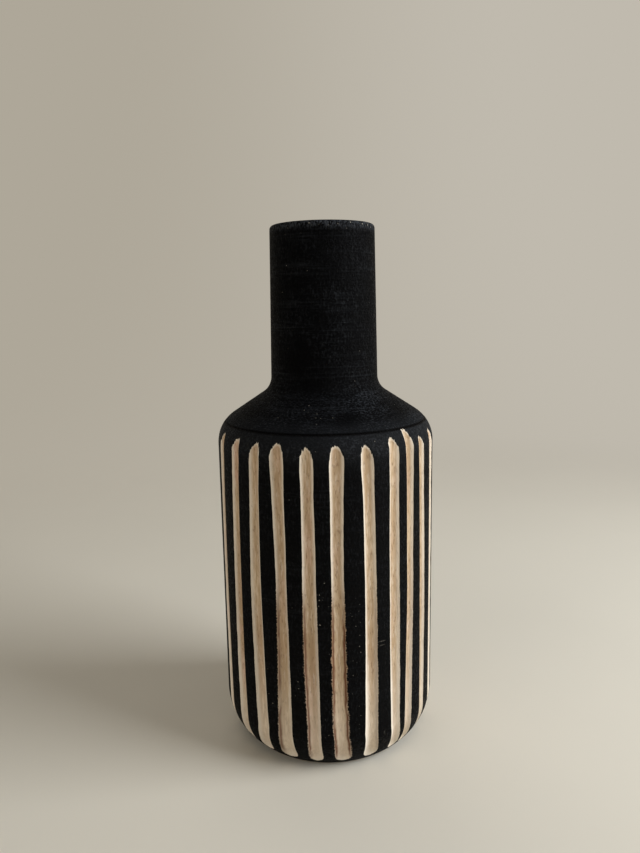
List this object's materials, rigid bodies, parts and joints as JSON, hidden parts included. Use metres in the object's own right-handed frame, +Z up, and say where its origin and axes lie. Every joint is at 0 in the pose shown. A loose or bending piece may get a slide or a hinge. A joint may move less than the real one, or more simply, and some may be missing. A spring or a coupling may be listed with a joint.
{
  "type": "bottle vase",
  "caption": "Turned wooden bottle vase with a straight neck, a sloping shoulder and a round barrel gouged all round with upright flutes, closed at the foot by a glued disc.",
  "frame": {"origin": "centre of the foot, on the surface that the vase stands on", "axes": "+Z up along the turning axis, -Y towards the side that the picture shows"},
  "size_m": [0.1258, 0.1258, 0.3],
  "materials": {
    "black_wood": "matte black stain over turned wood, flutes cut through to bare wood",
    "bare_wood": "bare, sanded"
  },
  "bodies": {
    "root": {"barrel": "black_wood", "neck": "black_wood", "base_disc": "bare_wood"}
  },
  "joints": []
}
